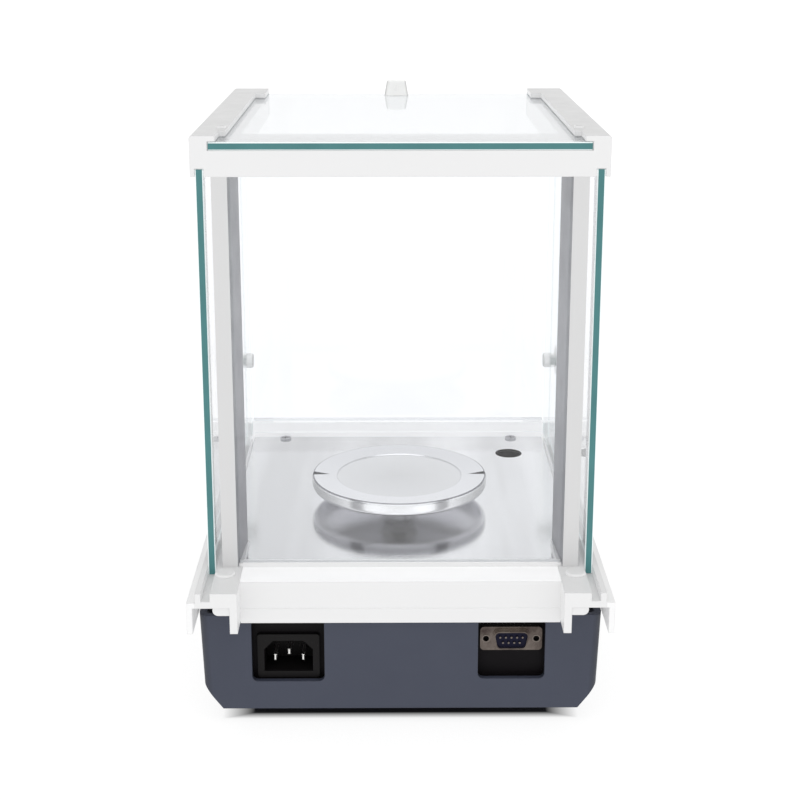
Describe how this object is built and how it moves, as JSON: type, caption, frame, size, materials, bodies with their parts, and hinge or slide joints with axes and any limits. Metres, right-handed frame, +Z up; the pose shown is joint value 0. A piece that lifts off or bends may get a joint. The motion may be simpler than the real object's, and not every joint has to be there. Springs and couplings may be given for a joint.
{
  "type": "analytical balance",
  "caption": "Analytical balance with a glass draft shield, sliding side and top doors, a round steel pan, a sloping control panel and rear sockets.",
  "frame": {"origin": "on the bench, under the middle of the footprint", "axes": "+Z up; -Y towards the user and the control panel, +Y towards the rear sockets; +X to the user's right"},
  "size_m": [0.2062, 0.32, 0.2986],
  "materials": {
    "housing_plastic": "fine matt texture",
    "white_plastic": "smooth satin moulding",
    "grey_plastic": "satin extrusion",
    "black_plastic": "matt",
    "inlet_plastic": "satin black moulding",
    "stainless_plate": "fine brushed",
    "pan_steel": "polished rim, fine turned face",
    "steel_screw": "zinc plated",
    "nickel": "dull nickel plate",
    "clear_glass": "clear float glass with green edges",
    "clear_plastic": "milky translucent moulding",
    "level_liquid": "tinted spirit under a clear cap",
    "machined_aluminium": "machined",
    "cast_aluminium": "cast, lightly grained",
    "magnet_steel": "laminated or plated steel",
    "circuit_board": "solder mask",
    "brass_fitting": "turned",
    "copper_winding": "enamelled wire",
    "insert_plastic": "dark blue moulding",
    "overlay_film": "printed film",
    "display_lens": "dark smoked lens",
    "key_plastic": "fine matt",
    "foot_rubber": "matt",
    "wheel_plastic": "matt"
  },
  "bodies": {
    "base": {"base_housing": "housing_plastic", "housing_screws": "steel_screw", "top_cover": "white_plastic", "post_screw_caps": "white_plastic", "floor_plate": "stainless_plate", "floor_plate_screws": "steel_screw", "level_body": "black_plastic", "level_vial": "level_liquid", "left_post": "grey_plastic", "right_post": "grey_plastic", "top_frame": "white_plastic", "frame_screws": "steel_screw", "front_glass": "clear_glass", "rear_glass": "clear_glass", "chassis_plate": "cast_aluminium", "chassis_screws": "steel_screw", "weigh_cell": "machined_aluminium", "cell_magnet": "magnet_steel", "main_board": "circuit_board", "board_standoffs": "brass_fitting", "board_parts": "black_plastic", "transformer_core": "magnet_steel", "transformer_winding": "copper_winding", "inlet_bay": "black_plastic", "serial_bay": "black_plastic", "power_inlet": "inlet_plastic", "inlet_pins": "nickel", "serial_shell": "nickel", "serial_insert": "insert_plastic", "serial_pins": "nickel", "serial_thread_inserts": "nickel", "panel_overlay": "overlay_film", "display_window": "display_lens", "display_module": "black_plastic", "keypad_board": "circuit_board", "rear_feet": "foot_rubber", "levelling_inserts": "brass_fitting"},
    "left_door": {"left_door_glass": "clear_glass", "left_door_knob": "clear_plastic", "left_door_cap": "clear_plastic"},
    "right_door": {"right_door_glass": "clear_glass", "right_door_knob": "clear_plastic", "right_door_cap": "clear_plastic"},
    "top_door": {"top_door_glass": "clear_glass", "top_door_grip": "clear_plastic"},
    "weigh_carrier": {"cell_carrier": "machined_aluminium", "pan_support": "machined_aluminium"},
    "weighing_pan": {"pan": "pan_steel"},
    "left_pad": {"left_foot_pad": "foot_rubber"},
    "right_pad": {"right_foot_pad": "foot_rubber"},
    "left_wheel": {"left_foot_wheel": "wheel_plastic"},
    "right_wheel": {"right_foot_wheel": "wheel_plastic"},
    "on_key": {"on_key": "key_plastic"},
    "off_key": {"off_key": "key_plastic"},
    "mode_key": {"mode_key": "key_plastic"},
    "calibrate_key": {"calibrate_key": "key_plastic"},
    "print_key": {"print_key": "key_plastic"},
    "tare_key": {"tare_key": "key_plastic"}
  },
  "joints": [
    {"name": "left_door_slide", "type": "slide", "parent": "base", "child": "left_door", "axis": [0, 1, 0], "range_m": [0, 0.145]},
    {"name": "right_door_slide", "type": "slide", "parent": "base", "child": "right_door", "axis": [0, 1, 0], "range_m": [0, 0.145]},
    {"name": "top_door_slide", "type": "slide", "parent": "base", "child": "top_door", "axis": [0, 1, 0], "range_m": [0, 0.16]},
    {"name": "load_deflection", "type": "slide", "parent": "base", "child": "weigh_carrier", "axis": [0, 0, 1], "range_m": [-0.0005, 0], "stiffness_N_per_m": 20000},
    {"name": "pan_lift_off", "type": "slide", "parent": "weigh_carrier", "child": "weighing_pan", "axis": [0, 0, 1], "range_m": [0, 0.03]},
    {"name": "left_foot_height", "type": "slide", "parent": "base", "child": "left_pad", "axis": [0, 0, 1], "range_m": [-0.002, 0.002]},
    {"name": "left_foot_turn", "type": "hinge", "parent": "left_pad", "child": "left_wheel", "pos_m": [-0.075, -0.12, 0.008], "axis": [0, 0, 1], "range_deg": [-720, 720]},
    {"name": "right_foot_height", "type": "slide", "parent": "base", "child": "right_pad", "axis": [0, 0, 1], "range_m": [-0.002, 0.002]},
    {"name": "right_foot_turn", "type": "hinge", "parent": "right_pad", "child": "right_wheel", "pos_m": [0.075, -0.12, 0.008], "axis": [0, 0, 1], "range_deg": [-720, 720]},
    {"name": "on_key_press", "type": "slide", "parent": "base", "child": "on_key", "axis": [0, 0.4045, -0.9145], "range_m": [0, 0.0008], "stiffness_N_per_m": 1500},
    {"name": "off_key_press", "type": "slide", "parent": "base", "child": "off_key", "axis": [0, 0.4045, -0.9145], "range_m": [0, 0.0008], "stiffness_N_per_m": 1500},
    {"name": "mode_key_press", "type": "slide", "parent": "base", "child": "mode_key", "axis": [0, 0.4045, -0.9145], "range_m": [0, 0.0008], "stiffness_N_per_m": 1500},
    {"name": "calibrate_key_press", "type": "slide", "parent": "base", "child": "calibrate_key", "axis": [0, 0.4045, -0.9145], "range_m": [0, 0.0008], "stiffness_N_per_m": 1500},
    {"name": "print_key_press", "type": "slide", "parent": "base", "child": "print_key", "axis": [0, 0.4045, -0.9145], "range_m": [0, 0.0008], "stiffness_N_per_m": 1500},
    {"name": "tare_key_press", "type": "slide", "parent": "base", "child": "tare_key", "axis": [0, 0.4045, -0.9145], "range_m": [0, 0.0008], "stiffness_N_per_m": 1500}
  ],
  "couplings": [
    {"joint": "left_foot_height", "follows": "left_foot_turn", "m_per_rad": 0.00015915},
    {"joint": "right_foot_height", "follows": "right_foot_turn", "m_per_rad": 0.00015915}
  ]
}
